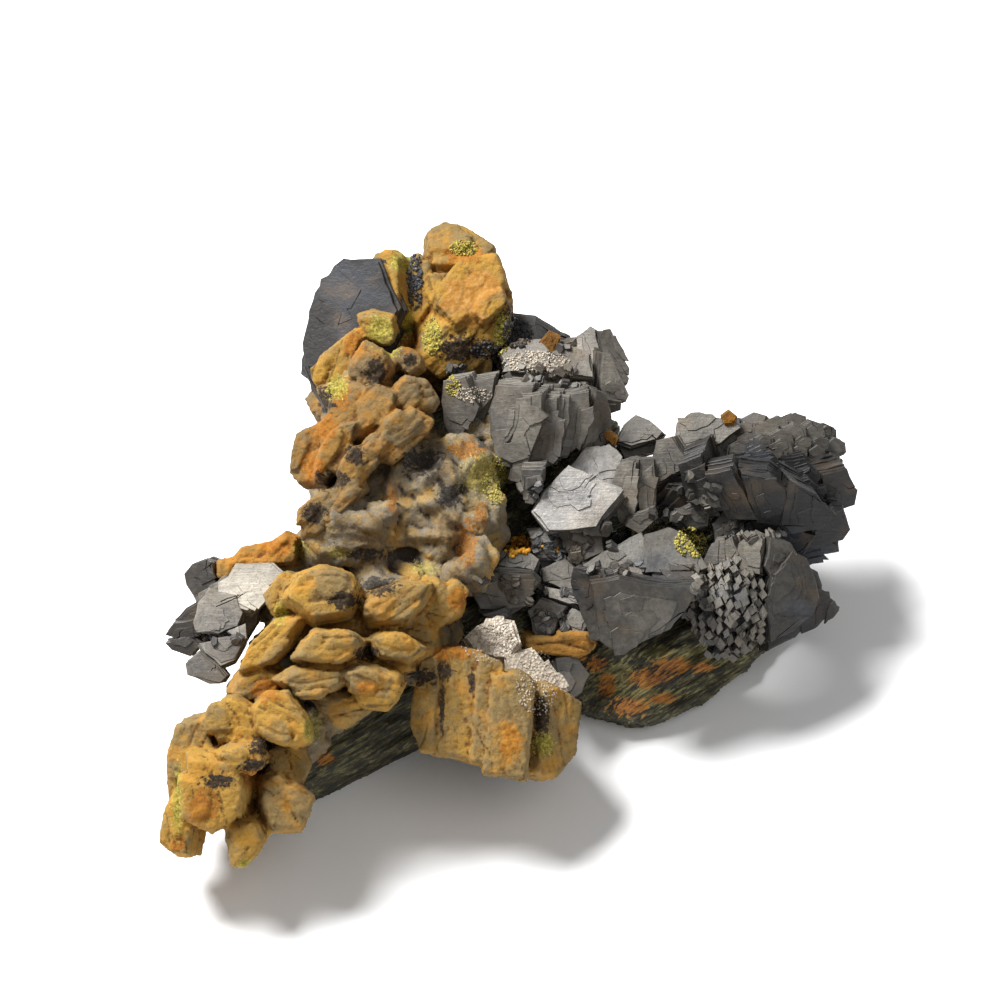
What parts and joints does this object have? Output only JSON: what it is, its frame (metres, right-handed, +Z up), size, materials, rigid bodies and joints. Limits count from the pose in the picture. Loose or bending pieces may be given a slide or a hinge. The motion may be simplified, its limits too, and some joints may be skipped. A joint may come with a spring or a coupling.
{
  "type": "arsenopyrite and ilvaite mineral specimen",
  "caption": "Hand-sized mineral cluster: grey bladed arsenopyrite rosettes and ochre-coated ilvaite prisms on a dark skarn base.",
  "frame": {"origin": "middle of the footprint of the whole specimen, on the table it rests on", "axes": "+X to the viewer's right, +Y away from the viewer, +Z up; the display face looks up and towards the viewer"},
  "size_m": [0.0854, 0.0896, 0.038],
  "materials": {
    "skarn": "dark green-black fibrous rock, rough, with rusty and yellow-green patches",
    "limonite": "earthy yellow-brown iron oxide crust, matt",
    "ochre_ilvaite": "ochre iron oxide coat on dark prismatic crystals, matt",
    "arsenopyrite": "satin steel-grey metallic crystals",
    "dark_arsenopyrite": "dark grey satin metallic crystals",
    "bright_arsenopyrite": "bright tin-white satin metallic plate",
    "pale_crust": "pale grey finely sparkling crust"
  },
  "bodies": {
    "root": {"skarn_matrix": "skarn", "limonite_ridge": "limonite", "ilvaite_front_block": "ochre_ilvaite", "ilvaite_stack": "ochre_ilvaite", "ilvaite_foot": "ochre_ilvaite", "ilvaite_ridge": "ochre_ilvaite", "ilvaite_summit": "ochre_ilvaite", "arsenopyrite_great_book": "arsenopyrite", "arsenopyrite_great_rosette": "dark_arsenopyrite", "arsenopyrite_bright_plate": "bright_arsenopyrite", "arsenopyrite_front_fan": "arsenopyrite", "arsenopyrite_brick_rosette": "arsenopyrite", "arsenopyrite_left_book": "arsenopyrite", "arsenopyrite_wedges": "arsenopyrite", "arsenopyrite_column": "arsenopyrite", "arsenopyrite_saddle_fan": "arsenopyrite", "arsenopyrite_shoulder": "dark_arsenopyrite", "arsenopyrite_dark_plate": "dark_arsenopyrite", "arsenopyrite_left_cluster": "arsenopyrite", "arsenopyrite_hollow_leaves": "dark_arsenopyrite", "arsenopyrite_stair": "arsenopyrite", "arsenopyrite_edge_plate": "dark_arsenopyrite", "arsenopyrite_back_leaves": "arsenopyrite", "pale_crystals": "pale_crust", "limonite_left_bar": "limonite", "limonite_front_bar": "limonite", "ilvaite_back_blocks": "ochre_ilvaite"}
  },
  "joints": []
}
